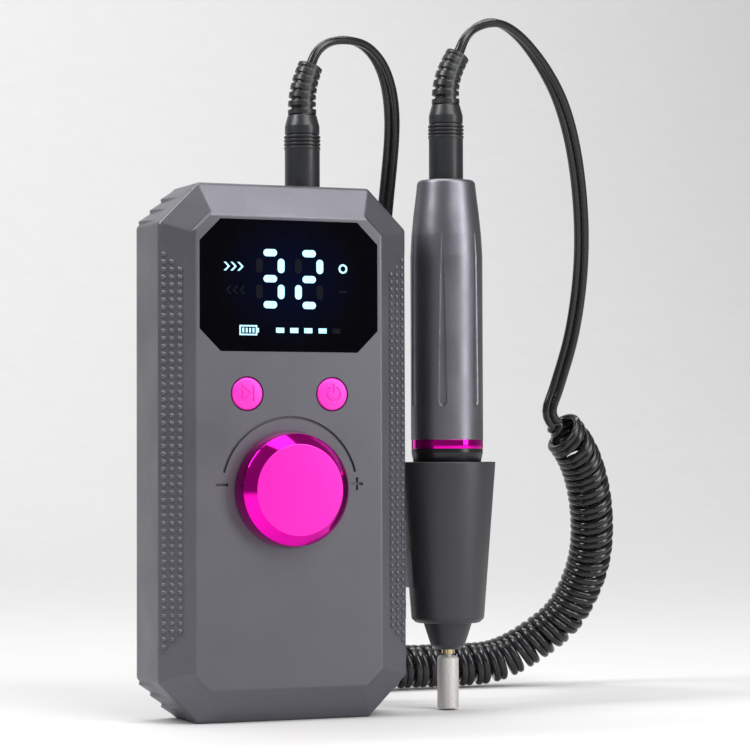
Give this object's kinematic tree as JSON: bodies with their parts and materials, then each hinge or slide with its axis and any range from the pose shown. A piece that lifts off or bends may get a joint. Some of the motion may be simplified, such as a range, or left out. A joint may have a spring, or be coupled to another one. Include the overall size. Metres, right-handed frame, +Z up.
{
  "type": "nail drill",
  "caption": "Portable nail drill: battery controller with display, buttons and speed knob, holder cup, handpiece with bit, and a coiled lead.",
  "frame": {"origin": "centre of the controller's flat base, midway between its sides and between its front rim and back", "axes": "+X to the holder side, -Y out of the front face, +Z up"},
  "size_m": [0.1704, 0.0951, 0.2037],
  "materials": {
    "housing": "satin grey moulded plastic",
    "cover_plastic": "fine-textured grey plastic",
    "magenta_gloss": "glossy magenta",
    "magenta_satin": "satin magenta",
    "lens_black": "glossy black",
    "glow_lit": "lit pale blue segments",
    "glow_dim": "unlit segments",
    "display_body": "white plastic",
    "circuit_board": "green solder mask",
    "component_black": "black moulded plastic",
    "screw_dark": "black oxide",
    "screw_plated": "zinc plated",
    "steel": "turned steel",
    "bearing_steel": "ground steel",
    "battery_wrap": "blue shrink wrap",
    "foam": "foam pad",
    "wire_red": "red insulation",
    "cup_graphite": "graphite matte",
    "barrel_grey": "satin gunmetal",
    "cap_black": "black plastic",
    "magnet": "ferrite",
    "nylon": "natural nylon",
    "carbon": "carbon",
    "copper": "enamelled copper",
    "aluminium": "turned aluminium",
    "collar_black": "black satin",
    "nose_graphite": "graphite satin",
    "seal_rubber": "black rubber",
    "collet_steel": "hardened collet",
    "bit_steel": "grained silver",
    "overmould": "satin black overmould",
    "contact": "plated contact",
    "lead": "satin black lead"
  },
  "bodies": {
    "controller": {"front_shell": "housing", "rear_cover": "cover_plastic", "case_screws": "screw_dark", "display_window": "lens_black", "display_panel": "display_body", "display_lit": "glow_lit", "display_dim": "glow_dim", "main_board": "circuit_board", "board_screws": "screw_plated", "board_parts": "component_black", "tact_switches": "component_black", "speed_pot": "steel", "pot_nut": "steel", "usb_c_port": "steel", "controller_jack": "component_black", "battery_cells": "battery_wrap", "battery_pad": "foam", "battery_leads": "wire_red", "holder_bracket": "housing", "holder_screws": "screw_dark", "holder_cup": "cup_graphite", "cord_controller_lead": "lead", "cord_coil": "lead"},
    "speed_knob": {"speed_knob": "magenta_gloss", "pot_shaft": "steel"},
    "direction_button": {"direction_button": "magenta_satin"},
    "power_button": {"power_button": "magenta_satin"},
    "handpiece": {"handpiece_shell": "barrel_grey", "handpiece_cap": "cap_black", "handpiece_jack": "component_black", "motor_leads": "wire_red", "motor_case": "steel", "motor_magnets": "magnet", "motor_end_cap": "nylon", "motor_brushes": "carbon", "motor_bearings": "bearing_steel", "accent_ring": "magenta_gloss", "front_housing": "aluminium", "nose_cone": "nose_graphite", "dust_seal": "seal_rubber", "spindle_bearings": "bearing_steel", "cord_handpiece_lead": "lead"},
    "twist_collar": {"twist_collar": "collar_black"},
    "lock_cam": {"lock_cam": "steel"},
    "spindle": {"spindle": "steel", "collet": "collet_steel", "collet_spring": "steel", "shaft_coupling": "steel", "motor_shaft": "steel", "motor_rotor": "copper", "motor_commutator": "copper"},
    "bit": {"bit_shank": "bit_steel", "bit_head": "bit_steel"},
    "controller_plug": {"controller_plug": "overmould", "controller_plug_pin": "contact", "controller_relief": "overmould"},
    "handpiece_plug": {"handpiece_plug": "overmould", "handpiece_plug_pin": "contact", "handpiece_relief": "overmould"}
  },
  "joints": [
    {"name": "knob_turn", "type": "hinge", "parent": "controller", "child": "speed_knob", "pos_m": [0, -0.0142, 0.0643], "axis": [0, 1, 0], "range_deg": [-247, 23]},
    {"name": "direction_button_press", "type": "slide", "parent": "controller", "child": "direction_button", "axis": [0, 1, 0], "range_m": [0, 0.0004], "stiffness_N_per_m": 500},
    {"name": "power_button_press", "type": "slide", "parent": "controller", "child": "power_button", "axis": [0, 1, 0], "range_m": [0, 0.0004], "stiffness_N_per_m": 500},
    {"name": "handpiece_lift", "type": "slide", "parent": "controller", "child": "handpiece", "axis": [0, 0, 1], "range_m": [0, 0.075], "deforming": ["cord_coil"]},
    {"name": "collar_twist", "type": "hinge", "parent": "handpiece", "child": "twist_collar", "pos_m": [0.0544, 0, 0.06], "axis": [0, 0, 1], "range_deg": [0, 60]},
    {"name": "lock_cam_slide", "type": "slide", "parent": "handpiece", "child": "lock_cam", "axis": [0, 0, 1], "range_m": [-0.0008, 0]},
    {"name": "spindle_spin", "type": "hinge", "parent": "handpiece", "child": "spindle", "pos_m": [0.0544, 0, 0.06], "axis": [0, 0, 1], "continuous": true},
    {"name": "bit_pull", "type": "slide", "parent": "spindle", "child": "bit", "axis": [0, 0, -1], "range_m": [0, 0.018]},
    {"name": "controller_plug_pull", "type": "slide", "parent": "controller", "child": "controller_plug", "axis": [0, 0, 1], "range_m": [0, 0.011], "deforming": ["cord_controller_lead"]},
    {"name": "handpiece_plug_pull", "type": "slide", "parent": "handpiece", "child": "handpiece_plug", "axis": [0, 0, 1], "range_m": [0, 0.011], "deforming": ["cord_handpiece_lead"]}
  ],
  "couplings": [
    {"joint": "lock_cam_slide", "follows": "collar_twist", "m_per_rad": -0.00076}
  ]
}
